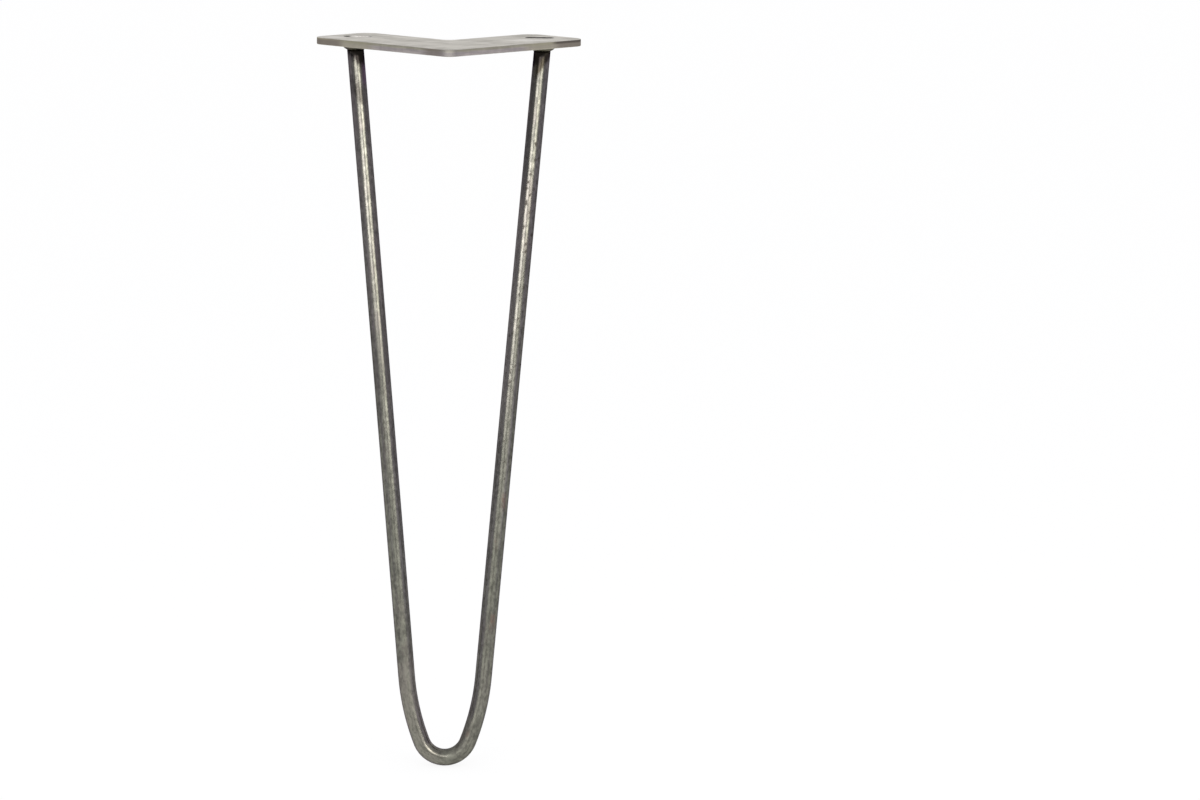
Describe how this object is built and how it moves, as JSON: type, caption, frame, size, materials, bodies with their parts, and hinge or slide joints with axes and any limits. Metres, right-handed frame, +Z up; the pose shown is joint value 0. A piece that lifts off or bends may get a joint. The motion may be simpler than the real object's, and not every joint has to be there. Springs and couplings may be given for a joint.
{
  "type": "hairpin table leg",
  "caption": "Raw steel hairpin table leg: a round bar bent into a long narrow loop, splayed outwards and welded under an L-shaped plate with slots for wood screws.",
  "frame": {"origin": "on the top face of the plate, where the mid-lines of its two arms cross", "axes": "+Z up out of the plate into the table top, X across the two runs of the bar, -Y towards the plate's outer corner and the splayed foot"},
  "size_m": [0.1496, 0.1041, 0.406],
  "materials": {
    "plate_steel": "bare sheet steel, cut and lightly brushed, with faint mottling",
    "rod_steel": "bare drawn bar, semi-bright, with dark lengthwise streaks",
    "weld_steel": "dark oxidised weld metal with heat tint"
  },
  "bodies": {
    "root": {"mounting_plate": "plate_steel", "hairpin_rod": "rod_steel", "left_weld_bead": "weld_steel", "right_weld_bead": "weld_steel"}
  },
  "joints": []
}
